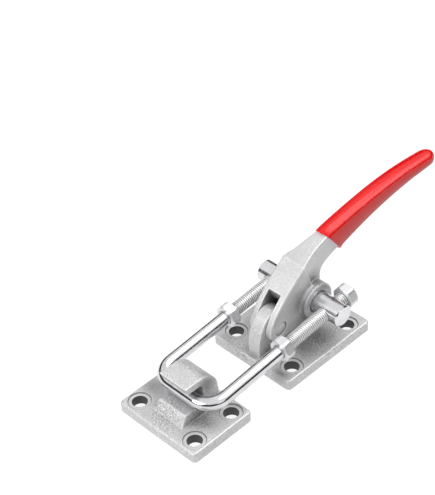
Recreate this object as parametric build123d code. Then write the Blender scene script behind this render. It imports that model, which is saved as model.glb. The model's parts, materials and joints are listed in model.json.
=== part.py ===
from build123d import *
import math
import os

# Over centre toggle latch, millimetres. +X runs from the catch to the handle, +Z is up, and
# the origin is the centre of the base plate's underside. The latch is symmetric about y = 0.

# ---- Driving dimensions ----
THREAD_D = 8.0              # U-bolt rod and thread
NUT_ACROSS_FLATS = 13.0
NUT_LENGTH = 6.3
NUT_CHAMFER = (0.6, 1.0)    # along the nut, and in from its corners
SCREW_HOLE_D = 8.5          # clears an M8 screw
SPOT_FACE_D = 13.0
SPOT_FACE_DEPTH = 0.6
PLATE_THICKNESS = 6.4
PLATE_WIDTH = 58.7          # along Y, both plates
PLATE_CORNER_R = 2.5
PLATE_TOP_R = 1.2
SCREW_SPACING_Y = 42.8

BASE_LENGTH = 67.5
BASE_SCREW_SPACING_X = 45.7
CATCH_LENGTH = 43.4
CATCH_SCREW_SPACING_X = 27.2
CATCH_CENTRE_X = -84.0

PIVOT = (-17.0, 22.0)       # (x, z) of the handle's pivot
TRUNNION = (10.2, 26.2)     # (x, z) of the trunnion bar in the handle
CROSSBAR = (-84.7, 18.2)    # (x, z) of the U-bolt's crossbar, hooked
LEG_SPACING = 41.3          # between the U-bolt's two legs
BEND_R = 11.0               # to the middle of the rod
THREAD_CHAMFER = 0.7

LUG_WIDTH = 8.5
LUG_HEAD_R = 10.3
LUG_EDGE_R = 0.8
PIN_D = 8.0
PIN_HEAD_D = 9.6
PIN_HEAD_DEPTH = 1.3        # from the cheek's face to the seat of the riveted head
PIN_SUNK = 0.5              # riveted end below the cheek's face
RUNNING_CLEARANCE = 0.08    # radial, pin in lug

FORK_WIDTH = 16.5
SLOT_WIDTH = 9.0
SLOT_ROOT_R = 13.6          # about the pivot, clear of the lug's head
CHEEK_END_R = 8.1
BOSS_WIDTH = 24.0
BOSS_R = 11.2
BOSS_BORE_R = 6.8
TANG_WIDTH = 8.6

FORK_EDGE_R = 1.0
NECK_EDGE_R = 1.0
BOSS_RIM_R = 1.2
BOSS_FOOT_R = 1.8           # hollow fillet round the boss on the cheeks
BORE_MOUTH = 0.7            # chamfer at both ends of the boss's bore

BAR_D = 12.9
BAR_LENGTH = 60.4
BAR_CHAMFER = 0.7
BAR_HOLE_D = 8.5

HOOK_WIDTH = 20.5
HOOK_TOP = 30.5
HOOK_EDGE_R = 0.8
MOUTH_FLOOR = 12.7
MOUTH_CEILING = 25.8
MOUTH_BACK = -79.0
MOUTH_CROWN_R = 3.0         # mouth's back to its ceiling
MOUTH_CORNER_R = 1.0        # mouth's back to its floor
RAMP_DRAFT = 8.0            # degrees, sides of the ramp and of the hook's foot

GRIP_WALL = 1.3
GRIP_EDGE_R = 3.0
GRIP_TIP_X = 121.8
GRIP_TIP_LENGTH = 5.8       # where the grip starts to round off
GRIP_TIP_DROP = 0.6
GRIP_TIP_ANGLES = (15, 30, 45, 58, 70, 80, 86)
TIP_STATION = (GRIP_TIP_X - GRIP_TIP_LENGTH, 61.4, 8.3, 11.5)

# ---- Worked out from them ----
LEG_RISE = math.degrees(math.atan2(TRUNNION[1] - CROSSBAR[1], TRUNNION[0] - CROSSBAR[0]))
LINK_LENGTH = math.dist(TRUNNION, CROSSBAR)
LEG_Y = LEG_SPACING / 2
LEG_END = 17.6              # thread ends past the bar's axis
REAR_NUT_NEAR = 12.7        # nut centres along the leg, from the bar's axis
REAR_NUT_FAR = REAR_NUT_NEAR + 1.7
FRONT_NUT = -38.9


def polar(centre, radius, angle):
    """The point at this angle in degrees round centre, in the XZ plane."""
    a = math.radians(angle)
    return (centre[0] + radius * math.cos(a), centre[1] + radius * math.sin(a))


def slab(outline, width):
    """An XZ outline made solid, half of its width each side of y = 0."""
    face = Plane.XZ.offset(-width / 2) * make_face(outline)
    return extrude(face, width)


def cross_cylinder(centre, radius, width):
    """A cylinder along Y at an (x, z) centre."""
    place = Pos(centre[0], 0, centre[1]) * Rot(90, 0, 0)
    return place * Cylinder(radius, width)


def in_link_frame(shape):
    """Moves a shape from the bar's frame, legs along -X, to its place on the tilted U-bolt."""
    return Pos(TRUNNION[0], 0, TRUNNION[1]) * Rot(0, -LEG_RISE, 0) * shape


# ---- Plates ----
def drilled_plate(length, screw_spacing_x, centre_x):
    place = Pos(centre_x, 0, 0)
    plate = Box(length, PLATE_WIDTH, PLATE_THICKNESS, align=(Align.CENTER, Align.CENTER, Align.MIN))
    plate = fillet(plate.edges().filter_by(Axis.Z), PLATE_CORNER_R)
    plate = fillet(plate.faces().sort_by(Axis.Z)[-1].edges(), PLATE_TOP_R)
    for hole in GridLocations(screw_spacing_x, SCREW_SPACING_Y, 2, 2):
        plate -= hole * Cylinder(SCREW_HOLE_D / 2, 3 * PLATE_THICKNESS)
        spot_face = Cylinder(SPOT_FACE_D / 2, 2 * SPOT_FACE_DEPTH)
        plate -= hole * Pos(0, 0, PLATE_THICKNESS) * spot_face
    return place * plate


def lug():
    """The upright that carries the pivot: round head, front edge curving out to a wide foot."""
    rear_lean = 15
    front = polar(PIVOT, LUG_HEAD_R, 140)
    crown = polar(PIVOT, LUG_HEAD_R, 60)
    rear = polar(PIVOT, LUG_HEAD_R, -rear_lean)
    shin = (-30.8, 12.0)
    toe = (shin[0], 2.0)
    heel = (rear[0] - (rear[1] - toe[1]) * math.tan(math.radians(rear_lean)), toe[1])
    outline = Curve() + [
        Line(toe, shin),
        TangentArc(shin, front, tangent=(0, 1)),
        ThreePointArc(front, crown, rear),
        Line(rear, heel),
        Line(heel, toe),
    ]
    return slab(outline, LUG_WIDTH)


def base_plate():
    plate = drilled_plate(BASE_LENGTH, BASE_SCREW_SPACING_X, 0)
    upright = fillet(lug().edges().filter_by(Axis.Y, reverse=True), LUG_EDGE_R)
    body = plate + upright
    return body - cross_cylinder(PIVOT, PIN_D / 2 + RUNNING_CLEARANCE, 2 * LUG_WIDTH)


# ---- Catch: plate, foot with its ramp, and hook in one casting ----
def hook_outline():
    """Tip, crown and back of the hook, round its mouth, and down the ramp in front of it."""
    tip_top = (-91.2, HOOK_TOP)
    tip_low = (-89.4, MOUTH_CEILING)
    crown_end = (-80.9, HOOK_TOP)
    shoulder = (-72.6, 27.4)
    nape = (-69.4, 23.6)
    back = (-68.1, 19.4)
    heel = (-67.4, 13.0)
    heel_foot = (-63.6, 6.8)
    mouth_top = (MOUTH_BACK - MOUTH_CROWN_R, MOUTH_CEILING)
    mouth_upper = (MOUTH_BACK, MOUTH_CEILING - MOUTH_CROWN_R)
    mouth_lower = (MOUTH_BACK, MOUTH_FLOOR + MOUTH_CORNER_R)
    floor_back = (MOUTH_BACK - MOUTH_CORNER_R, MOUTH_FLOOR)
    ramp_top = (-91.9, MOUTH_FLOOR)
    ramp_knee = (-93.3, 11.9)
    ramp_foot = (-98.0, 4.0)
    inside_plate = 2.0
    return Curve() + [
        Line(tip_low, tip_top),
        Line(tip_top, crown_end),
        TangentArc(crown_end, shoulder, tangent=(1, 0)),
        ThreePointArc(shoulder, nape, back),
        Line(back, heel),
        TangentArc(heel, heel_foot, tangent=(heel[0] - back[0], heel[1] - back[1])),
        Line(heel_foot, (heel_foot[0], inside_plate)),
        Line((heel_foot[0], inside_plate), (ramp_foot[0], inside_plate)),
        Line((ramp_foot[0], inside_plate), ramp_foot),
        Line(ramp_foot, ramp_knee),
        TangentArc(ramp_top, ramp_knee, tangent=(-1, 0)),
        Line(ramp_top, floor_back),
        TangentArc(floor_back, mouth_lower, tangent=(1, 0)),
        Line(mouth_lower, mouth_upper),
        TangentArc(mouth_upper, mouth_top, tangent=(0, 1)),
        Line(mouth_top, tip_low),
    ]


def hook():
    body = slab(hook_outline(), 2 * HOOK_WIDTH)
    footprint = Pos(CATCH_CENTRE_X, 0, MOUTH_FLOOR) * Rectangle(CATCH_LENGTH, HOOK_WIDTH)
    above = extrude(footprint, HOOK_TOP)
    below = extrude(footprint, -MOUTH_FLOOR, taper=-RAMP_DRAFT)
    body = body & (above + below)
    flanks = body.edges().filter_by(
        lambda e: abs(e.center().Y) > HOOK_WIDTH / 2 - 1 and e.center().Z > PLATE_THICKNESS + 1
    )
    return fillet(flanks, HOOK_EDGE_R)


def catch_plate():
    plate = drilled_plate(CATCH_LENGTH, CATCH_SCREW_SPACING_X, CATCH_CENTRE_X)
    return plate + hook()


# ---- Handle: fork, boss, neck and tang in one casting ----
def fork_outline():
    """Both cheeks from the side: round end at the pin, bowed front, straight underside."""
    spread = math.dist(PIVOT, TRUNNION)
    lean = math.atan2(TRUNNION[1] - PIVOT[1], TRUNNION[0] - PIVOT[0])
    underside = 270 + math.degrees(lean - math.asin((BOSS_R - CHEEK_END_R) / spread))
    end_low = polar(PIVOT, CHEEK_END_R, underside)
    end_front = polar(PIVOT, CHEEK_END_R, 215)
    end_high = polar(PIVOT, CHEEK_END_R, 155)
    boss_low = polar(TRUNNION, BOSS_R, underside)
    brow = (-12.4, 40.7)
    crease_top = (3.2, 53.0)
    crease_low = (8.6, 37.6)
    return Curve() + [
        ThreePointArc(end_low, end_front, end_high),
        Spline(end_high, brow, crease_top, tangents=(polar((0, 0), 1, 65), polar((0, 0), 1, 33))),
        Line(crease_top, crease_low),
        Line(crease_low, TRUNNION),
        Line(TRUNNION, boss_low),
        Line(boss_low, end_low),
    ]


def slot_outline():
    """The gap between the cheeks: open to the front and below, its root round the pivot."""
    mouth_top = (-15.1, 47.5)
    root_top = polar(PIVOT, SLOT_ROOT_R, 50)
    root_mid = polar(PIVOT, SLOT_ROOT_R, 5)
    root_low = polar(PIVOT, SLOT_ROOT_R, -38)
    clear_x = -40.0
    clear_z = 5.0
    return Curve() + [
        Line(mouth_top, root_top),
        ThreePointArc(root_top, root_mid, root_low),
        Line(root_low, (root_low[0], clear_z)),
        Line((root_low[0], clear_z), (clear_x, clear_z)),
        Line((clear_x, clear_z), (clear_x, mouth_top[1])),
        Line((clear_x, mouth_top[1]), mouth_top),
    ]


def fork():
    cheeks = slab(fork_outline(), FORK_WIDTH)
    outer = cheeks.edges().filter_by(lambda e: abs(e.center().Y) > 1 and e.center().X < 0)
    return fillet(outer, FORK_EDGE_R) - slab(slot_outline(), SLOT_WIDTH)


def neck_profile():
    """The bare neck from the side, from inside the fork to inside the grip."""
    root_top = (-4.0, 48.0)
    root_low = (-4.0, 38.0)
    top_end = (40.0, 61.2)
    low_end = (40.0, 47.2)
    armpit = (23.5, 42.3)
    throat = (19.2, 36.5)
    boss_rear = (19.2, 28.0)
    brow = (5.0, 53.3)
    low = Spline(low_end, (32, 45.0), armpit)
    return Curve() + [
        Spline(root_top, brow, (28, 59.1), top_end),
        Line(top_end, low_end),
        low,
        TangentArc(armpit, throat, tangent=low % 1),
        Line(throat, boss_rear),
        Line(boss_rear, TRUNNION),
        Line(TRUNNION, root_low),
        Line(root_low, root_top),
    ]


def neck_plan():
    """The bare neck from above: as wide as the fork at its root, narrowing to the grip."""
    root = (-4.0, FORK_WIDTH / 2 - 0.05)
    end = (40.0, TANG_WIDTH / 2 - 0.2)
    left = Spline(root, (3, 7.9), (11, 6.2), (19, 5.0), (28, TANG_WIDTH / 2), end)
    return Curve() + [
        left,
        Line(end, (end[0], -end[1])),
        mirror(left, Plane.XZ),
        Line(root, (root[0], -root[1])),
    ]


def grip_end_plane():
    """Where the grip's open end is cut, square to the hand's direction there."""
    return Plane(origin=(26.9, 0, 60.6), x_dir=(0, 1, 0), z_dir=(0.81, 0, 0.59))


def neck():
    """The bare part of the handle and a little more inside the grip, its long edges softened."""
    side = slab(neck_profile(), 2 * FORK_WIDTH)
    plan = extrude(Pos(0, 0, 20) * make_face(neck_plan()), 60)
    bare = side & plan
    top = bare.edges().filter_by(lambda e: abs(e.center().Y) > 1 and e.length > 25)
    rear = bare.edges().filter_by(
        lambda e: abs(e.center().Y) > 1 and e.center().X > 18 and e.center().Z < 48
    )
    return fillet(top + rear, NECK_EDGE_R)


def hand_section(x, middle, depth, width, shrink):
    """One section of the hand's length: a rounded rectangle upright at x."""
    height = depth - 2 * shrink
    corner = min(GRIP_EDGE_R - shrink, 0.45 * height)
    outline = RectangleRounded(width - 2 * shrink, height, corner)
    return Plane(origin=(x, 0, middle), x_dir=(0, 1, 0), z_dir=(1, 0, 0)) * outline


def hand_length(shrink):
    """Where the hand holds, from the grip's open end: a blade that curves and thins to its tip."""
    # x, height of the middle, depth and width of the grip
    stations = [
        (24, 50.0, 19.4, 10.6),
        (38, 53.5, 17.9, 10.8),
        (54, 57.2, 15.4, 11.4),
        (72, 60.1, 13.0, 11.8),
        (90, 61.5, 11.2, 11.8),
        (106, 61.7, 9.5, 11.6),
        TIP_STATION,
    ]
    sections = [hand_section(*station, shrink) for station in stations]
    return split(loft(sections), grip_end_plane(), keep=Keep.TOP)


def grip_tip():
    """The rounded end past the last station, its sections shrinking as an ellipse does."""
    x_end, middle, depth, width = TIP_STATION
    sections = [hand_section(*TIP_STATION, 0)]
    for angle in GRIP_TIP_ANGLES:
        reach = math.sin(math.radians(angle))
        scale = math.cos(math.radians(angle))
        x = x_end + GRIP_TIP_LENGTH * reach
        sections.append(hand_section(x, middle - GRIP_TIP_DROP * reach, depth * scale, width * scale, 0))
    return loft(sections)


def boss():
    """The cross boss for the trunnion bar, its rims rounded and its foot hollowed into the cheeks."""
    body = cross_cylinder(TRUNNION, BOSS_R, BOSS_WIDTH)
    body = fillet(body.edges().filter_by(GeomType.CIRCLE), BOSS_RIM_R)
    across = Pos(TRUNNION[0], 0, TRUNNION[1]) * Rot(90, 0, 0)
    foot = cross_cylinder(TRUNNION, BOSS_R + BOSS_FOOT_R, FORK_WIDTH + 2 * BOSS_FOOT_R)
    for side in (-1, 1):
        hollow = Pos(0, 0, side * (FORK_WIDTH / 2 + BOSS_FOOT_R))
        foot -= across * hollow * Torus(BOSS_R + BOSS_FOOT_R, BOSS_FOOT_R)
    return body + (foot & slab(fork_outline(), 2 * BOSS_WIDTH))


def handle():
    body = fork() + neck() + hand_length(GRIP_WALL) + boss()
    body -= cross_cylinder(TRUNNION, BOSS_BORE_R, 2 * BOSS_WIDTH)
    for side in (-1, 1):
        flare = Cone(BOSS_BORE_R, BOSS_BORE_R + 2 * BORE_MOUTH, 2 * BORE_MOUTH)
        body -= Pos(TRUNNION[0], side * BOSS_WIDTH / 2, TRUNNION[1]) * Rot(-90 * side, 0, 0) * flare
    for side in (-1, 1):
        seat_middle = side * (FORK_WIDTH / 2 - PIN_HEAD_DEPTH + FORK_WIDTH / 2)
        body -= Pos(0, seat_middle, 0) * cross_cylinder(PIVOT, PIN_HEAD_D / 2, FORK_WIDTH)
    return body - cross_cylinder(PIVOT, PIN_D / 2, 2 * FORK_WIDTH)


def handle_grip(casting):
    return hand_length(0) + grip_tip() - casting


# ---- Pin, bar, U-bolt and nuts ----
def pivot_pin():
    """A shank with both ends riveted over into their seats, just below the cheeks' faces."""
    pin = cross_cylinder(PIVOT, PIN_D / 2, FORK_WIDTH - 2 * PIN_SUNK)
    for side in (-1, 1):
        middle = side * (FORK_WIDTH / 2 - (PIN_SUNK + PIN_HEAD_DEPTH) / 2)
        pin += Pos(0, middle, 0) * cross_cylinder(PIVOT, PIN_HEAD_D / 2, PIN_HEAD_DEPTH - PIN_SUNK)
    return pin


def trunnion_bar():
    bar = Rot(90, 0, 0) * Cylinder(BAR_D / 2, BAR_LENGTH)
    bar = chamfer(bar.edges().filter_by(GeomType.CIRCLE), BAR_CHAMFER)
    for side in (-1, 1):
        bar -= Pos(0, side * LEG_Y, 0) * Rot(0, 90, 0) * Cylinder(BAR_HOLE_D / 2, 2 * BAR_D)
    return in_link_frame(bar)


def u_bolt():
    path = FilletPolyline(
        (LEG_END, -LEG_Y, 0),
        (-LINK_LENGTH, -LEG_Y, 0),
        (-LINK_LENGTH, LEG_Y, 0),
        (LEG_END, LEG_Y, 0),
        radius=BEND_R,
    )
    section = Plane(origin=path @ 0, z_dir=path % 0) * Circle(THREAD_D / 2)
    rod = sweep(section, path)
    rod = chamfer(rod.edges().filter_by(GeomType.CIRCLE).group_by(Axis.X)[-1], THREAD_CHAMFER)
    return in_link_frame(rod)


def nut(along, side, turn):
    """A hexagon nut, chamfered at both ends, at a place along one leg and turned on it."""
    hexagon = RegularPolygon(NUT_ACROSS_FLATS / 2, 6, major_radius=False)
    blank = extrude(hexagon, NUT_LENGTH / 2, both=True)
    corner_r = NUT_ACROSS_FLATS / 2 / math.cos(math.radians(30))
    turned = Cylinder(corner_r, NUT_LENGTH)
    turned = chamfer(turned.edges().filter_by(GeomType.CIRCLE), *NUT_CHAMFER)
    bore = Cylinder(THREAD_D / 2 + RUNNING_CLEARANCE, 2 * NUT_LENGTH)
    body = (blank & turned) - bore
    return in_link_frame(Pos(along, side * LEG_Y, 0) * Rot(0, 90, 0) * Rot(0, 0, turn) * body)


def latch():
    casting = handle()
    return {
        "base_plate": base_plate(),
        "catch_plate": catch_plate(),
        "handle": casting,
        "handle_grip": handle_grip(casting),
        "pivot_pin": pivot_pin(),
        "trunnion_bar": trunnion_bar(),
        "u_bolt": u_bolt(),
        "front_nut_near": nut(FRONT_NUT, -1, 0),
        "front_nut_far": nut(FRONT_NUT, 1, 8),
        "rear_nut_near": nut(REAR_NUT_NEAR, -1, 30),
        "rear_nut_far": nut(REAR_NUT_FAR, 1, 18),
    }


os.makedirs("parts", exist_ok=True)
for name, solid in latch().items():
    export_step(solid, f"parts/{name}.step")
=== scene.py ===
import json
import math

import bmesh
import bpy
from mathutils import Matrix, Vector


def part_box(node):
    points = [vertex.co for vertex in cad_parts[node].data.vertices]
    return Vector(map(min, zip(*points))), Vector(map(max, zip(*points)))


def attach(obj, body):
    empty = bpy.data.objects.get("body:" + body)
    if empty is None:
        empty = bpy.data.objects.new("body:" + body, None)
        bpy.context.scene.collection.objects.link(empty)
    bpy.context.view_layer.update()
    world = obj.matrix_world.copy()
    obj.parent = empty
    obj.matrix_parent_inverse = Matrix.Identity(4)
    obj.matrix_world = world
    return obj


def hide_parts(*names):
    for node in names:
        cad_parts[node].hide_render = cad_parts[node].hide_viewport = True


MM = 0.001
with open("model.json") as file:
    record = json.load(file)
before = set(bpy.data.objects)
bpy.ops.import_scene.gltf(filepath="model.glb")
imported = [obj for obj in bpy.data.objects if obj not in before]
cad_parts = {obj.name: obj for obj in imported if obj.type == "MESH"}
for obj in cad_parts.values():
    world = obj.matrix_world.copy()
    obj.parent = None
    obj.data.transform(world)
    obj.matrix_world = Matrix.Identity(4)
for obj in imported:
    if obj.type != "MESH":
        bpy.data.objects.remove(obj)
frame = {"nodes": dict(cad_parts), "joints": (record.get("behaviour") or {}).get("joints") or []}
nodes = frame["nodes"]
joints = {j["name"]: j for j in frame["joints"]}
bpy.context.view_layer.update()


# ---- Sizes and places ----
ROD_R = 4.0 * MM
BEND_R = 11.0 * MM
PITCH = 1.25 * MM                # M8 coarse
RIDGE = 0.48 * MM                # height of the thread's ridge
THREAD_START = -40.5 * MM        # inside the front nut, from the bar's axis
THREAD_END = 17.6 * MM
THREAD_OVERLAP = 1.0 * MM        # how far the plain leg runs into the thread
NUT_FLATS = 13.0 * MM
NUT_LENGTH = 6.3 * MM
NUT_BORE_R = 4.08 * MM
NUT_CHAMFER = 2.0 * MM           # of the turned blank that trims the hexagon
NUT_CORNER = 0.25 * MM
NUT_TURNS = {                    # degrees that each was left turned from a flat on top
    "front_nut_near": 0, "front_nut_far": 8, "rear_nut_near": 4, "rear_nut_far": 18,
}
SCREW_SPACING_Y = 42.8 * MM
HOLE_WALL_R = 4.4 * MM
SPOT_FACE_R = 6.2 * MM
STEP_R = 6.75 * MM               # of the step round a spot face

leg_direction = Vector(joints["front_nut_near_turn"]["axis"])
bar_centre = Vector(joints["trunnion_swing"]["pos_m"])
leg_y = abs(joints["front_nut_near_turn"]["pos_m"][1])
link_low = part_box("u_bolt")[0]
link_length = (bar_centre.x - link_low.x - ROD_R) / leg_direction.x
leg_tilt = Matrix.Rotation(-math.asin(leg_direction.z), 4, "Y")


# ---- Shader nodes ----
def colour(hex_code):
    """An sRGB hex value as the linear RGBA that the shaders take."""
    channels = [int(hex_code[i : i + 2], 16) / 255 for i in (1, 3, 5)]
    linear = [c / 12.92 if c <= 0.04045 else ((c + 0.055) / 1.055) ** 2.4 for c in channels]
    return (*linear, 1.0)


def set_inputs(tree, node, **inputs):
    """Sets a node's inputs, each to a number, a colour or another node's socket. An underscore
    in an input's name stands for a space, and _0 is the first input."""
    for name, value in inputs.items():
        key = int(name[1:]) if name[1:].isdigit() else name.replace("_", " ")
        socket = node.inputs[key]
        if isinstance(value, bpy.types.NodeSocket):
            tree.links.new(value, socket)
        else:
            socket.default_value = value


def add_node(tree, kind, settings=None, **inputs):
    """Adds a node with its settings, and its inputs as set_inputs takes them."""
    node = tree.nodes.new(kind)
    for name, value in (settings or {}).items():
        setattr(node, name, value)
    set_inputs(tree, node, **inputs)
    return node


def number(tree, operation, a, b=0.0, c=0.0):
    """The output of a Math node."""
    return add_node(tree, "ShaderNodeMath", {"operation": operation}, _0=a, _1=b, _2=c).outputs[0]


def measured(tree, operation, a, b=(0, 0, 0)):
    """The number that a Vector Math node gives."""
    node = add_node(tree, "ShaderNodeVectorMath", {"operation": operation}, _0=a, _1=b)
    return node.outputs["Value"]


def ranged(tree, value, low, high, at_low, at_high):
    """A value carried from one range to another and held at the ends."""
    node = add_node(
        tree, "ShaderNodeMapRange", Value=value,
        From_Min=low, From_Max=high, To_Min=at_low, To_Max=at_high,
    )
    return node.outputs["Result"]


def noise(tree, place, size, detail, roughness=0.5):
    """Noise from 0 to 1 whose blots are about so large."""
    node = add_node(
        tree, "ShaderNodeTexNoise", Vector=place, Scale=1 / size, Detail=detail, Roughness=roughness
    )
    return node.outputs["Fac"]


def ramp(tree, factor, stops):
    """A colour ramp from (position, hex value) stops."""
    node = add_node(tree, "ShaderNodeValToRGB", Fac=factor)
    while len(node.color_ramp.elements) < len(stops):
        node.color_ramp.elements.new(0.5)
    for element, (position, hex_code) in zip(node.color_ramp.elements, stops):
        element.position = position
        element.color = colour(hex_code)
    return node.outputs["Color"]


def mixed(tree, factor, under, over, blend="MIX"):
    """One colour over another by a factor. A Mix node's two colours are its inputs 6 and 7."""
    settings = {"data_type": "RGBA", "blend_type": blend}
    return add_node(tree, "ShaderNodeMix", settings, _0=factor, _6=under, _7=over).outputs[2]


def new_material(name):
    """An empty material with its output and its shader."""
    material = bpy.data.materials.new(name)
    material.use_nodes = True
    tree = material.node_tree
    tree.nodes.clear()
    shader = add_node(tree, "ShaderNodeBsdfPrincipled")
    add_node(tree, "ShaderNodeOutputMaterial", Surface=shader.outputs["BSDF"])
    return material, tree, shader


def object_place(tree):
    """Where a point lies, in the frame's own axes."""
    return add_node(tree, "ShaderNodeTexCoord").outputs["Object"]


# ---- Masks ----
# Painted highlight along sharp edges, from a Bevel node's rounded normal
EDGE_HIGHLIGHT_WIDTH = 1.5 * MM
EDGE_HIGHLIGHT_GAIN = 6.0                # a skin that turns by 30 degrees or more gets the painted highlight in full
EDGE_HIGHLIGHT_MOST = 0.8
FADE_FROM = 0.15                 # shares of a place's radius between which it fades out
FADE_TO = 1.15
# Where the painted shade in the thread's roots is full and where it is gone
ROOT_DEEP = 0.9                  # shares of the ridge's height below its crest: the root is in
ROOT_CLEAR = 0.3                 # full from the first down, and gone from the second up


def painted_edge_highlight(tree):
    """Painted highlight: strongest along sharp outer edges, and 0 on faces."""
    rounded = add_node(tree, "ShaderNodeBevel", {"samples": 6}, Radius=EDGE_HIGHLIGHT_WIDTH)
    flat = add_node(tree, "ShaderNodeNewGeometry").outputs["Normal"]
    along = measured(tree, "DOT_PRODUCT", rounded.outputs["Normal"], flat)
    turned = number(tree, "MULTIPLY", number(tree, "SUBTRACT", 1.0, along), EDGE_HIGHLIGHT_GAIN)
    return number(tree, "MINIMUM", turned, EDGE_HIGHLIGHT_MOST)


def near_places(tree, place, places):
    """1 in the middle of each (x, y, z, radius) in millimetres and 0 outside them."""
    total = 0.0
    for x, y, z, radius in places:
        away = measured(tree, "DISTANCE", place, (x * MM, y * MM, z * MM))
        near = ranged(tree, away, FADE_FROM * radius * MM, FADE_TO * radius * MM, 1.0, 0.0)
        total = number(tree, "MAXIMUM", near, total)
    return total


def from_hole(tree, place, centre_x, spacing_x):
    """The distance from the axis of the nearest of a plate's four screw holes, whose middle
    and spacing along x are in millimetres."""
    axes = add_node(tree, "ShaderNodeSeparateXYZ", Vector=place).outputs
    x = number(tree, "SUBTRACT", axes["X"], centre_x * MM)
    x = number(tree, "SUBTRACT", number(tree, "ABSOLUTE", x), spacing_x / 2 * MM)
    y = number(tree, "SUBTRACT", number(tree, "ABSOLUTE", axes["Y"]), SCREW_SPACING_Y / 2)
    flat = add_node(tree, "ShaderNodeCombineXYZ", X=x, Y=y)
    return measured(tree, "LENGTH", flat.outputs["Vector"])


def thread_masks(tree, place):
    """Two masks over both legs: 1 down in the thread's roots, and 1 all over the thread."""
    near = add_node(
        tree, "ShaderNodeVectorMath", {"operation": "SUBTRACT"}, _0=place, _1=bar_centre
    ).outputs["Vector"]
    along = measured(tree, "DOT_PRODUCT", near, leg_direction)
    high = measured(tree, "DOT_PRODUCT", near, leg_direction.cross(Vector((0, 1, 0))))
    y = number(tree, "ABSOLUTE", add_node(tree, "ShaderNodeSeparateXYZ", Vector=near).outputs["Y"])
    flat = add_node(tree, "ShaderNodeCombineXYZ", X=high, Y=number(tree, "SUBTRACT", y, leg_y))
    away = measured(tree, "LENGTH", flat.outputs["Vector"])
    deep = ranged(tree, away, ROD_R - ROOT_DEEP * RIDGE, ROD_R - ROOT_CLEAR * RIDGE, 1.0, 0.0)
    threaded = number(tree, "GREATER_THAN", along, THREAD_START)
    return number(tree, "MULTIPLY", deep, threaded), threaded


# ---- Finishes ----
GRAIN = 0.9 * MM                 # three times a foundry sand's
GRAIN_DEPTH = 0.15 * MM
PATCH = 9 * MM                   # of the smoother and the sandier parts of a skin
# reach of the painted shade in corners and crevices
CREVICE_SHADE_REACH = 12 * MM
ROUGH_SHARE = 0.5                # of sand added in the middle of a rough place
PAINTED_SHADE_SHARE = 0.48               # of painted shade in the middle of a shaded place
ZINC_CLOUD = 4 * MM
THREAD_MIRROR_LOSS = 0.65        # off the metallic value all over the thread
THREAD_DULLING = 0.2             # onto its roughness
VINYL_WAVE = 12 * MM
WHITE = "#FFFFFF"


def drilled(tree, tone, away):
    """A plate's tone with its screw holes: painted shade on the walls, a bright machined spot
    face, and painted shade on the step round it."""
    # Painted shade on the step and the hole walls, and the lighter machined spot face between them
    rings = (
        (STEP_R, "#707072", 0.7), (SPOT_FACE_R, "#ECECEC", 0.75), (HOLE_WALL_R, "#505052", 1.0),
    )
    for outer, finish, share in rings:
        inside = number(tree, "MULTIPLY", number(tree, "LESS_THAN", away, outer), share)
        tone = mixed(tree, inside, tone, colour(finish))
    return tone


def nickel_plated_casting(name, sandy, rough=(), shade_places=(), holes=None):
    """Sand cast iron, tumbled and nickel plated: a matt silver skin, its sand grain drawn
    three times as coarse as it is so that it shows, stronger where the mould was rough. Edges
    get a painted highlight, and corners, crevices, the drilled holes and given places get painted
    shade."""
    material, tree, shader = new_material(name)
    place = object_place(tree)
    patch = noise(tree, place, PATCH, 3.0)
    sand = noise(tree, place, GRAIN, 2.0)
    pit = noise(tree, place, GRAIN, 2.0, 0.65)
    sandier = ranged(tree, patch, 0.4, 0.65, sandy, 2.5 * sandy)
    if rough:
        added = number(tree, "MULTIPLY", near_places(tree, place, rough), ROUGH_SHARE)
        sandier = number(tree, "ADD", sandier, added)
    sandier = number(tree, "MINIMUM", sandier, 1.0)

    tone = ramp(tree, patch, ((0.3, "#D3D3D4"), (0.7, "#E0E0E1")))
    speck = ramp(tree, pit, ((0.36, "#7C7C7E"), (0.5, "#D6D6D7"), (0.62, WHITE)))
    tone = mixed(tree, sandier, tone, speck)
    # Painted shade in corners, crevices and holes, from ambient occlusion
    crevice_shade = add_node(
        tree, "ShaderNodeAmbientOcclusion", {"samples": 8, "only_local": True},
        Distance=CREVICE_SHADE_REACH,
    )
    shade = ramp(tree, crevice_shade.outputs["AO"], ((0.2, "#707072"), (0.85, WHITE)))
    tone = mixed(tree, 1.0, tone, shade, "MULTIPLY")
    # Painted shade at the given places, where the parts shadow each other
    if shade_places:
        painted_shade = number(tree, "MULTIPLY", near_places(tree, place, shade_places), PAINTED_SHADE_SHARE)
        tone = mixed(tree, painted_shade, tone, colour("#4C4C4E"))
    # Painted highlight: the sharp edges are lightened towards white
    tone = mixed(tree, painted_edge_highlight(tree), tone, colour(WHITE))
    if holes:
        tone = drilled(tree, tone, from_hole(tree, place, *holes))

    dull = ranged(tree, patch, 0, 1, 0.42, 0.54)
    relief = number(tree, "MULTIPLY_ADD", number(tree, "MULTIPLY", pit, sandier), 2.0, sand)
    bump = add_node(tree, "ShaderNodeBump", Height=relief, Strength=0.6, Distance=GRAIN_DEPTH)
    set_inputs(
        tree, shader,
        Base_Color=tone, Metallic=0.5, Roughness=dull, Normal=bump.outputs["Normal"],
    )
    return material


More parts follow.
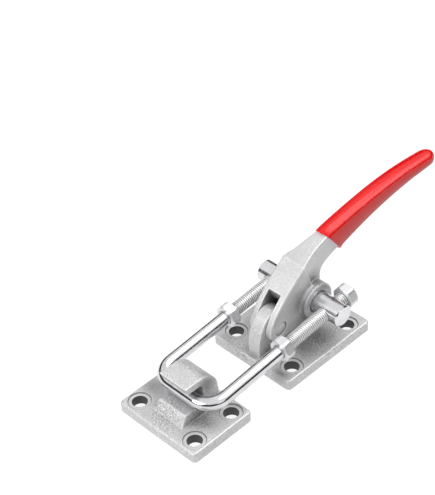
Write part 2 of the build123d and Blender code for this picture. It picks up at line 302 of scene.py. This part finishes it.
def zinc_plate(name, tones, smoothest, dullest, metallic=1.0, threaded=False):
    """Drawn or turned steel, bright zinc plated: mirror-like, with faint clouds that soften
    the reflections a little. Where it is threaded it is paler and less of a mirror, with
    painted shade in its roots."""
    material, tree, shader = new_material(name)
    place = object_place(tree)
    cloud = noise(tree, place, ZINC_CLOUD, 3.0)
    tone = ramp(tree, cloud, ((0.3, tones[0]), (0.7, tones[1])))
    dull = ranged(tree, cloud, 0, 1, smoothest, dullest)
    if threaded:
        roots, thread_zone = thread_masks(tree, place)
        tone = mixed(tree, thread_zone, tone, colour("#FAFAFA"))
        # Painted shade down in the thread's roots
        tone = mixed(tree, roots, tone, colour("#B8B8BA"))
        metallic = number(tree, "MULTIPLY_ADD", thread_zone, -THREAD_MIRROR_LOSS, metallic)
        dull = number(tree, "MULTIPLY_ADD", thread_zone, THREAD_DULLING, dull)
    set_inputs(tree, shader, Base_Color=tone, Metallic=metallic, Roughness=dull)
    return material


def dipped_vinyl():
    """Plastisol vinyl, dipped and cured: saturated red with a wet gloss over faint waviness."""
    material, tree, shader = new_material("dipped_vinyl")
    wave = noise(tree, object_place(tree), VINYL_WAVE, 1.0)
    tone = ramp(tree, wave, ((0.3, "#F8060A"), (0.7, "#FF080C")))
    bump = add_node(tree, "ShaderNodeBump", Height=wave, Strength=0.1, Distance=0.3 * MM)
    set_inputs(tree, shader, Base_Color=tone, Roughness=0.24, Normal=bump.outputs["Normal"])
    return material


def give_finish(piece, material):
    """A piece gets this finish and no other."""
    piece.data.materials.clear()
    piece.data.materials.append(material)


# Places on the castings as (x, y, z, radius), and the middle and the spacing of the screw holes
# along x, in millimetres.
BASE_ROUGH = ((-33, 7, 6.4, 8), (0, -18, 6.4, 15), (-20, -6, 8, 10))
# Places on the base that get painted shade, where the lug, handle and legs shadow it
BASE_PAINTED_SHADE = ((-14, -4.5, 14, 14), (6, -14, 6.4, 11), (-8, -16, 6.4, 9), (-31, -21, 6.4, 6))
BASE_HOLES = (0, 45.7)
CATCH_ROUGH = ((-94, 2, 8, 12), (-84.5, -14, 6.4, 8), (-70, -18, 6.4, 9))
# Places on the catch that get painted shade, round the ramp and the hook
CATCH_PAINTED_SHADE = ((-74, -13, 6.4, 7), (-83, -14, 6.4, 8), (-85, 25, 6.4, 9), (-76, -11, 24, 8))
CATCH_HOLES = (-84.0, 27.2)
HANDLE_ROUGH = ((12, -10, 37, 7),)
# Places on the handle that get painted shade, on the boss and low on the cheeks
HANDLE_PAINTED_SHADE = ((12, -9, 38, 8), (3, -8, 18, 16), (-1, -8, 29, 11))

zinc = zinc_plate("bright_zinc_rod", ("#CACACC", "#D8D8DA"), 0.1, 0.18, threaded=True)
turned_zinc = zinc_plate("turned_zinc_bar", ("#D2D2D4", "#DEDEE0"), 0.16, 0.26)
satin_zinc = zinc_plate("satin_zinc_nut", ("#D8D8DA", "#E4E4E6"), 0.3, 0.42, metallic=0.8)
vinyl = dipped_vinyl()
base_casting = nickel_plated_casting("base_casting", 0.14, BASE_ROUGH, BASE_PAINTED_SHADE, BASE_HOLES)
catch_casting = nickel_plated_casting("catch_casting", 0.17, CATCH_ROUGH, CATCH_PAINTED_SHADE, CATCH_HOLES)
handle_casting = nickel_plated_casting("handle_casting", 0.09, HANDLE_ROUGH, HANDLE_PAINTED_SHADE)
riveted = nickel_plated_casting("riveted_steel", 0.04)

give_finish(nodes["base_plate"], base_casting)
give_finish(nodes["catch_plate"], catch_casting)
give_finish(nodes["handle"], handle_casting)
give_finish(nodes["trunnion_bar"], turned_zinc)


# ---- Modelling by hand ----
ALONG_X = (0, math.pi / 2, 0)    # rotations that lay a cylinder's or a disc's axis along x or y
ALONG_Y = (math.pi / 2, 0, 0)
ON_PLANE = 0.01 * MM             # within this of a plane, an element counts as lying on it
WELD = 0.001 * MM
CUT_SLACK = 0.0001 * MM


def only(*pieces):
    """Selects just these pieces."""
    bpy.ops.object.select_all(action="DESELECT")
    for piece in pieces:
        piece.select_set(True)
        bpy.context.view_layer.objects.active = piece


def edit_all():
    """Opens the active piece in edit mode, all selected."""
    bpy.ops.object.mode_set(mode="EDIT")
    bpy.ops.mesh.select_all(action="SELECT")


def close_edit():
    bpy.ops.object.mode_set(mode="OBJECT")


def face_outward():
    """Turns every face of the open piece outward and closes edit mode."""
    bpy.ops.mesh.select_all(action="SELECT")
    bpy.ops.mesh.normals_make_consistent(inside=False)
    close_edit()


def apply_place():
    """Puts the selected piece's place and turn into its mesh."""
    bpy.ops.object.transform_apply(location=True, rotation=True, scale=True)


def started(name):
    """The primitive just added, named and open in edit mode, all selected."""
    piece = bpy.context.object
    piece.name = piece.data.name = name
    apply_place()
    edit_all()
    return piece


def cylinder(name, vertices, radius, length, rotation=ALONG_X, location=(0, 0, 0)):
    only()
    bpy.ops.mesh.primitive_cylinder_add(
        vertices=vertices, radius=radius, depth=length, location=location, rotation=rotation
    )
    return started(name)


def disc(name, radius, rotation, location):
    only()
    bpy.ops.mesh.primitive_circle_add(
        vertices=48, radius=radius, fill_type="NGON", location=location, rotation=rotation
    )
    return started(name)


def square(name, location=(0, 0, 0), rotation=(0, 0, 0)):
    """A square 1 mm across."""
    only()
    bpy.ops.mesh.primitive_plane_add(size=MM, location=location, rotation=rotation)
    return started(name)


def pick(piece, kind, test):
    """Selects a piece's VERTs, EDGEs or FACEs by a test on each, in edit mode."""
    bpy.ops.mesh.select_mode(type=kind)
    bpy.ops.mesh.select_all(action="DESELECT")
    mesh = bmesh.from_edit_mesh(piece.data)
    elements = {"VERT": mesh.verts, "EDGE": mesh.edges, "FACE": mesh.faces}[kind]
    for element in elements:
        if test(element):
            element.select_set(True)
    mesh.select_flush_mode()
    bmesh.update_edit_mesh(piece.data)


def middle(edge):
    return (edge.verts[0].co + edge.verts[1].co) / 2


def grow(x=0, y=0, z=0):
    """Extrudes what is selected."""
    bpy.ops.mesh.extrude_region_move(TRANSFORM_OT_translate={"value": (x, y, z)})


def shift(x=0, y=0, z=0):
    bpy.ops.transform.translate(value=(x, y, z))


def resize(x=1, y=1, z=1):
    bpy.ops.transform.resize(value=(x, y, z))


def apply_modifier(piece, kind, **settings):
    only(piece)
    modifier = piece.modifiers.new(kind.lower(), kind)
    for name, value in settings.items():
        setattr(modifier, name, value)
    bpy.ops.object.modifier_apply(modifier=modifier.name)


def combine(piece, tool, operation):
    """Joins, cuts or keeps what two closed meshes share, removes the tool, and merges the
    slivers that the cut leaves."""
    apply_modifier(piece, "BOOLEAN", operation=operation, object=tool, solver="EXACT")
    bpy.data.objects.remove(tool)
    edit_all()
    bpy.ops.mesh.remove_doubles(threshold=3 * WELD)
    bpy.ops.mesh.quads_convert_to_tris(quad_method="BEAUTY", ngon_method="BEAUTY")
    bpy.ops.mesh.dissolve_degenerate(threshold=WELD)
    close_edit()


def finished(piece, material, body, replaced, smooth=35):
    """Smooths a piece up to an angle, gives it its finish and its body, and hides the CAD node that
    it replaces.
    """
    only(piece)
    bpy.ops.object.shade_smooth_by_angle(angle=math.radians(smooth))
    give_finish(piece, material)
    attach(piece, body)
    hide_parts(replaced)


# ---- The U-bolt ----
def bent_rod():
    """Half of the crossbar extruded, spun round its bend and drawn up the leg, then mirrored.
    It is made in the bar's frame, its legs along -X, as the thread and the nuts are."""
    straight = leg_y - BEND_R
    rod = disc("u_bolt_threaded", ROD_R, ALONG_Y, (-link_length, 0, 0))
    grow(y=-straight)
    bpy.ops.mesh.spin(
        steps=16, angle=math.pi / 2, center=(-link_length + BEND_R, -straight, 0), axis=(0, 0, -1)
    )
    grow(x=THREAD_START + THREAD_OVERLAP + link_length - BEND_R)
    pick(rod, "FACE", lambda face: abs(face.calc_center_median().y) < ON_PLANE)
    bpy.ops.mesh.delete(type="FACE")
    close_edit()
    apply_modifier(rod, "MIRROR", use_axis=(False, True, False), merge_threshold=ON_PLANE)
    return rod


def thread():
    """One ridge drawn point by point and screwed round the leg, cut square, its end chamfered."""
    ridge = square("thread")
    bpy.ops.mesh.merge(type="CENTER")
    bpy.ops.mesh.select_mode(type="VERT")
    bpy.ops.mesh.select_all(action="SELECT")
    shift(x=THREAD_START - 2 * PITCH, y=ROD_R - RIDGE)
    flank = 5 / 16 * PITCH
    for along, out in ((PITCH / 4, 0), (flank, RIDGE), (PITCH / 8, 0), (flank, -RIDGE)):
        bpy.ops.mesh.extrude_vertices_move(TRANSFORM_OT_translate={"value": (along, out, 0)})
    close_edit()
    turns = math.ceil((THREAD_END - THREAD_START) / PITCH) + 4
    apply_modifier(
        ridge, "SCREW", axis="X", screw_offset=PITCH, iterations=turns, steps=32, render_steps=32,
        use_merge_vertices=True, merge_threshold=WELD,
    )
    edit_all()
    bpy.ops.mesh.remove_doubles(threshold=WELD)
    for place, below in ((THREAD_START, True), (THREAD_END, False)):
        bpy.ops.mesh.select_all(action="SELECT")
        bpy.ops.mesh.bisect(
            plane_co=(place, 0, 0), plane_no=(1, 0, 0), use_fill=True, threshold=CUT_SLACK,
            clear_inner=below, clear_outer=not below,
        )
    face_outward()
    combine(ridge, chamfered_blank(), "INTERSECT")
    return ridge


def chamfered_blank():
    """A turned blank round the thread, its end chamfered to below the ridge's root."""
    spare = 0.5 * MM
    length = THREAD_END - THREAD_START + 4 * MM
    blank = cylinder(
        "turned_blank", 48, ROD_R + spare, length, location=(THREAD_END - length / 2, 0, 0)
    )
    pick(blank, "EDGE", lambda edge: middle(edge).x > THREAD_END - ON_PLANE)
    bpy.ops.mesh.bevel(offset=RIDGE + spare, segments=1)
    close_edit()
    return blank


def u_bolt():
    rod = bent_rod()
    leg = thread()
    edit_all()
    shift(y=-leg_y)
    close_edit()
    apply_modifier(leg, "MIRROR", use_axis=(False, True, False))
    combine(rod, leg, "UNION")
    only(rod)
    rod.matrix_world = Matrix.Translation(bar_centre) @ leg_tilt
    apply_place()
    finished(rod, zinc, "link", "u_bolt")


# ---- The nuts ----
def hexagon_nut():
    """A hexagon with its corners rounded, trimmed by a turned blank, bored and countersunk."""
    corner_r = NUT_FLATS / 2 / math.cos(math.radians(30))
    body = cylinder("nut", 6, corner_r, NUT_LENGTH)
    pick(body, "EDGE", lambda edge: abs(middle(edge).x) < ON_PLANE)
    bpy.ops.mesh.bevel(offset=NUT_CORNER, segments=2)
    close_edit()
    blank = cylinder("turned_blank", 96, corner_r, NUT_LENGTH)
    pick(blank, "EDGE", lambda edge: abs(abs(middle(edge).x) - NUT_LENGTH / 2) < ON_PLANE)
    bpy.ops.mesh.bevel(offset=NUT_CHAMFER, segments=3)
    close_edit()
    combine(body, blank, "INTERSECT")
    combine(body, countersunk_bore(), "DIFFERENCE")
    return body


def countersunk_bore():
    """A cylinder whose ends flare where they meet the nut's two faces."""
    flare = 0.5 * MM
    wide_r = NUT_BORE_R + 2 * flare
    narrowing = NUT_BORE_R / wide_r
    bore = disc("bore", wide_r, ALONG_X, (-NUT_LENGTH / 2 - flare, 0, 0))
    for step, across in (
        (2 * flare, narrowing), (NUT_LENGTH - 2 * flare, 1), (2 * flare, 1 / narrowing)
    ):
        grow(x=step)
        resize(y=across, z=across)
    face_outward()
    return bore


def place_nuts():
    """The one nut, copied to each place on the legs and turned as it was left there."""
    pattern = hexagon_nut()
    for name, turn in NUT_TURNS.items():
        nut = pattern.copy()
        nut.data = pattern.data.copy()
        nut.name = nut.data.name = name.replace("nut", "hexagon_nut")
        bpy.context.scene.collection.objects.link(nut)
        only(nut)
        centre = Matrix.Translation(joints[name + "_turn"]["pos_m"])
        left_turned = Matrix.Rotation(math.radians(turn), 4, "X")
        nut.matrix_world = centre @ leg_tilt @ left_turned
        apply_place()
        finished(nut, satin_zinc, name, name, smooth=30)
    bpy.data.objects.remove(pattern)


# ---- The dipped grip ----
GRIP_WALL = 1.2 * MM
GRIP_CORNER = 3.0 * MM
TOP_CROWN = 1.0 * MM             # the middles of the top and the underside stand proud by this
SIDE_CROWN = 0.5 * MM            # and the middles of the two sides by this
GRIP_STATIONS = (                # x, height of the middle, depth and width, in millimetres
    (24, 50.4, 20.8, 12.0), (38, 53.75, 18.9, 11.9), (54, 57.35, 15.6, 11.7),
    (72, 60.3, 13.1, 11.8), (90, 61.7, 11.3, 11.8), (102, 61.8, 9.8, 12.0),
    (115.4, 61.4, 8.2, 12.4),
)
ROUND_FROM = 80                  # millimetres along x, where the section starts to round
TIP_ROUNDING = 0.35              # the share of the way to a circle that each ring goes from there
TIP_LENGTH = 6.45                # millimetres, as its drop is
TIP_DROP = 0.5
TIP_ANGLES = (20, 38, 54, 68, 80)    # degrees round the tip from the last station
TIP_DEPTH_KEPT = 0.45            # the share of its depth that the tip would end with at 90 degrees
CUT_PLACE = Vector((26.9, 0, 60.6)) * MM
CUT_DIRECTION = Vector((0.81, 0, 0.59)).normalized()
LIP_STEPS = (                    # outward from the cut: length in millimetres, and swell
    (0.3, 1.015), (0.35, 1.02), (0.5, 1.005), (0.4, 0.985),
)
LIP_SAG_REACHES = (4.5, 3.2, 2.0)    # millimetres from the rim's lowest corner
LIP_SAG = Vector((-0.12, 0, -0.2)) * MM


def vinyl_grip():
    """A rounded section drawn out along the hand's stations to a round tip, cut square at its
    open end, given a rolled lip there and then its wall."""
    x, middle_z, depth, width = GRIP_STATIONS[0]
    # The rings' middle points lie on the pivot, so the way that tosphere takes them hangs on the
    # rounding of this place. It is given as plain numbers, which always round alike.
    centre = (x * MM, 0, middle_z * MM)
    grip = square("vinyl_grip", centre, ALONG_X)
    resize(y=width - 2 * SIDE_CROWN / MM, z=depth - 2 * TOP_CROWN / MM)
    bpy.ops.mesh.bevel(offset=GRIP_CORNER, segments=4, affect="VERTICES")
    crown(grip, Vector(centre), "y", "z", TOP_CROWN)
    crown(grip, Vector(centre), "z", "y", SIDE_CROWN)
    bpy.ops.mesh.select_mode(type="FACE")
    bpy.ops.mesh.select_all(action="SELECT")
    stations = (*GRIP_STATIONS, *tip_stations())
    for (x0, z0, d0, w0), (x1, z1, d1, w1) in zip(stations, stations[1:]):
        grow(x=(x1 - x0) * MM)
        resize(y=w1 / w0, z=d1 / d0)
        shift(z=(z1 - z0) * MM)
        if x1 > ROUND_FROM:
            bpy.ops.transform.tosphere(value=TIP_ROUNDING)
    pick(grip, "FACE", lambda face: face.calc_center_median().x < centre[0] + ON_PLANE)
    bpy.ops.mesh.delete(type="FACE")
    face_outward()
    apply_modifier(grip, "SUBSURF", levels=2, render_levels=2)
    rolled_lip(grip)
    apply_modifier(grip, "SOLIDIFY", thickness=GRIP_WALL, offset=-1, use_even_offset=True)
    apply_modifier(
        grip, "BEVEL", width=0.3 * MM, segments=3, limit_method="ANGLE",
        angle_limit=math.radians(60),
    )
    finished(grip, vinyl, "lever", "handle_grip", smooth=45)
    grip.visible_glossy = False


def crown(piece, centre, level, outward, rise):
    """Splits the two sides of a section that cross one axis through its centre, and raises
    their middles outward along the other."""
    pick(piece, "EDGE", lambda edge: abs(getattr(middle(edge) - centre, level)) < ON_PLANE)
    bpy.ops.mesh.subdivide(number_cuts=1)
    for side in (-1, 1):
        pick(
            piece, "VERT",
            lambda vertex: abs(getattr(vertex.co - centre, level)) < ON_PLANE
            and side * getattr(vertex.co - centre, outward) > 0,
        )
        shift(**{outward: side * rise})


def tip_stations():
    """The stations that round the tip off, one for each angle."""
    x, middle_z, depth, width = GRIP_STATIONS[-1]
    for angle in TIP_ANGLES:
        reach, left = math.sin(math.radians(angle)), math.cos(math.radians(angle))
        yield (
            x + TIP_LENGTH * reach, middle_z - TIP_DROP * reach,
            depth * (TIP_DEPTH_KEPT + (1 - TIP_DEPTH_KEPT) * left), width * left,
        )


def rolled_lip(grip):
    """Cuts the grip's open end square and swells its rim, which hangs a little at the bottom."""
    only(grip)
    edit_all()
    bpy.ops.mesh.bisect(
        plane_co=CUT_PLACE, plane_no=CUT_DIRECTION, clear_inner=True, threshold=CUT_SLACK
    )
    for step, swell in LIP_STEPS:
        grow(*(-step * MM * CUT_DIRECTION))
        resize(swell, swell, swell)
    places = [vertex.co.copy() for vertex in bmesh.from_edit_mesh(grip.data).verts]
    lowest = min(place.z for place in places)
    corner = next(place for place in places if place.z < lowest + WELD)
    for reach in LIP_SAG_REACHES:
        pick(grip, "VERT", lambda vertex: (vertex.co - corner).length < reach * MM)
        shift(*LIP_SAG)
    face_outward()


# ---- The pivot pin ----
FORK_WIDTH = 16.5 * MM
PIN_R = 3.9 * MM
PIN_HEAD_SEAT = 1.2 * MM         # the shank's end below the cheek's face
PIN_HEAD = (                     # radius and height above the shank's end, in millimetres
    (4.7, 0.0), (4.7, 0.2), (3.65, 0.75), (3.3, 0.95), (1.6, 1.1),
)


def riveted_pin():
    """A shank whose two ends are spread into their seats: a groove round a flat dome."""
    length = FORK_WIDTH - 2 * PIN_HEAD_SEAT
    pin = cylinder("riveted_pin", 64, PIN_R, length, ALONG_Y, joints["handle_pivot"]["pos_m"])
    for side in (-1, 1):
        pick(pin, "FACE", lambda face: side * face.calc_center_median().y > length / 2 - ON_PLANE)
        radius, height = PIN_R / MM, 0.0
        for next_radius, next_height in PIN_HEAD:
            grow(y=side * (next_height - height) * MM)
            spread = next_radius / radius
            resize(x=spread, z=spread)
            radius, height = next_radius, next_height
    face_outward()
    finished(pin, riveted, "lever", "pivot_pin", smooth=50)


u_bolt()
place_nuts()
riveted_pin()
vinyl_grip()


# ---- Studio ----
WORLD_LIGHT = 0.25               # what lights the scene, while the world looks fully white
FLOOR_R = 3.0
FLOOR_GLOW = 0.9                 # only for rays that look, so the floor lights nothing
CARD_RING_R = 1.2
CARD_FOOT = 0.03
CARD_TOP = 0.65
AIM = Vector((0, 0, 0.03))       # the middle of the part, which the lamps face
LAMPS = (                        # name, place, width in metres and power in watts
    ("overhead_soft_box", (0.54, -0.24, 1.04), 1.0, 7.8),
    ("side_soft_box", (-1.02, 0.12, 0.6), 0.7, 7.5),
    ("front_fill", (-0.2, -1.1, 0.45), 0.6, 0.7),
)


def looking_rays(tree):
    """1 for rays that look: from the camera, off gloss and through glass."""
    path = add_node(tree, "ShaderNodeLightPath").outputs
    look = number(tree, "MAXIMUM", path["Is Camera Ray"], path["Is Glossy Ray"])
    return number(tree, "MAXIMUM", look, path["Is Transmission Ray"])


def studio_world():
    world = bpy.data.worlds.new("studio")
    bpy.context.scene.world = world
    world.use_nodes = True
    tree = world.node_tree
    tree.nodes.clear()
    level = ranged(tree, looking_rays(tree), 0, 1, WORLD_LIGHT, 1.0)
    ground = add_node(tree, "ShaderNodeBackground", Color=colour(WHITE), Strength=level)
    add_node(tree, "ShaderNodeOutputWorld", Surface=ground.outputs["Background"])


def floor():
    only()
    bpy.ops.mesh.primitive_circle_add(
        vertices=96, radius=FLOOR_R, fill_type="NGON", location=(0, 0, 0)
    )
    ground = bpy.context.object
    ground.name = "studio_floor"
    material, tree, shader = new_material("white_sweep")
    glow = number(tree, "MULTIPLY", looking_rays(tree), FLOOR_GLOW)
    set_inputs(
        tree, shader,
        Base_Color=colour("#8C8C8C"), Roughness=1.0, Specular_IOR_Level=0.0,
        Emission_Color=colour(WHITE), Emission_Strength=glow,
    )
    give_finish(ground, material)


def dark_card():
    """A low ring of dark card round the floor: the thin dark lines that bright metal mirrors."""
    only()
    bpy.ops.mesh.primitive_cylinder_add(
        vertices=64, radius=CARD_RING_R, depth=CARD_TOP - CARD_FOOT, end_fill_type="NOTHING",
        location=(0, 0, (CARD_TOP + CARD_FOOT) / 2),
    )
    ring = bpy.context.object
    ring.name = "dark_card"
    material, tree, shader = new_material("dark_card")
    set_inputs(tree, shader, Base_Color=colour("#303030"), Roughness=1.0)
    give_finish(ring, material)
    ring.visible_camera = False
    ring.visible_diffuse = False
    ring.visible_shadow = False


def lamp(name, place, size, power):
    """A square soft box at a place, facing the part."""
    data = bpy.data.lights.new(name, "AREA")
    data.size = size
    data.energy = power
    box = bpy.data.objects.new(name, data)
    bpy.context.scene.collection.objects.link(box)
    box.location = place
    box.rotation_euler = (AIM - Vector(place)).to_track_quat("-Z", "Y").to_euler()


# ---- Camera ----
def camera(azimuth, elevation, roll, distance, focal_px, centre_px, frame_px):
    """A camera that looks down at the origin from a distance, its origin drawn at centre_px."""
    a, e, r = (math.radians(v) for v in (azimuth, elevation, roll))
    back = Vector((math.sin(a) * math.cos(e), -math.cos(a) * math.cos(e), math.sin(e)))
    right = (-back).cross(Vector((0, 0, 1))).normalized()
    up = right.cross(-back)
    turned_right = math.cos(r) * right + math.sin(r) * up
    turned_up = math.cos(r) * up - math.sin(r) * right
    width, height = frame_px
    across = (centre_px[0] - width / 2) * distance / focal_px
    above = -(centre_px[1] - height / 2) * distance / focal_px
    place = back * distance - turned_right * across - turned_up * above
    data = bpy.data.cameras.new("camera")
    data.sensor_fit = "HORIZONTAL"
    data.sensor_width = 36.0
    data.lens = focal_px * data.sensor_width / width
    data.clip_start = 0.05
    data.clip_end = 20
    view = bpy.data.objects.new("camera", data)
    bpy.context.scene.collection.objects.link(view)
    axes = Matrix((turned_right, turned_up, back)).transposed()
    view.matrix_world = Matrix.Translation(place) @ axes.to_4x4()
    bpy.context.scene.camera = view


studio_world()
floor()
dark_card()
for lamp_settings in LAMPS:
    lamp(*lamp_settings)
camera(
    azimuth=-42.261, elevation=39.519, roll=-4.032, distance=0.84241,
    focal_px=1477.51, centre_px=(291.86, 335.52), frame_px=(435, 495),
)
bpy.context.scene.view_settings.view_transform = "Standard"
